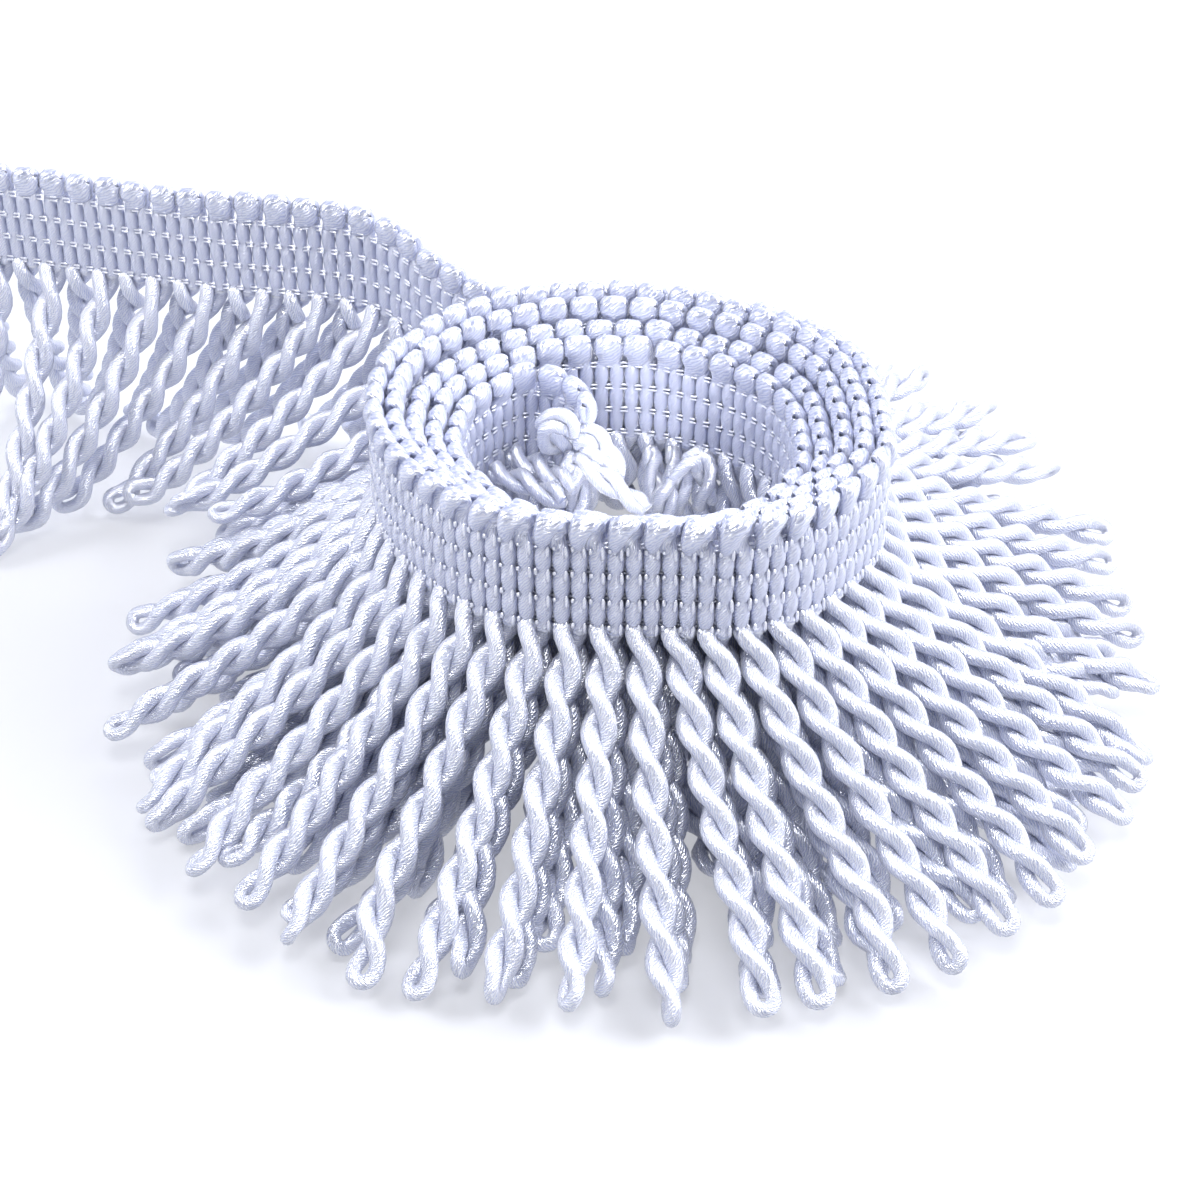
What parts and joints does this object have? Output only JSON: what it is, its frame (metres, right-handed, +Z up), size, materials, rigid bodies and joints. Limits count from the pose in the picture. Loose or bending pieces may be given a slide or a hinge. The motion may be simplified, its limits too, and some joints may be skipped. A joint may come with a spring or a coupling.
{
  "type": "twisted fringe trim",
  "caption": "White bullion fringe trim lying rolled on edge: a ribbed gimp heading with top loops, its twisted cords spread out like a skirt, the free end leading away.",
  "frame": {"origin": "on the table under the middle of the whole, roll and free end together", "axes": "+Z up, along the axis of the roll; +X the long way, from the free end towards the roll; +Y away from the front of the roll"},
  "size_m": [0.23, 0.197, 0.0704],
  "materials": {
    "gimp_heading": "satin",
    "twisted_cord": "satin"
  },
  "bodies": {
    "root": {"heading": "gimp_heading", "fringe_turn_1": "twisted_cord", "fringe_turn_2": "twisted_cord", "fringe_turn_3": "twisted_cord", "fringe_turn_4": "twisted_cord", "fringe_turn_5": "twisted_cord", "fringe_tail": "twisted_cord"}
  },
  "joints": []
}
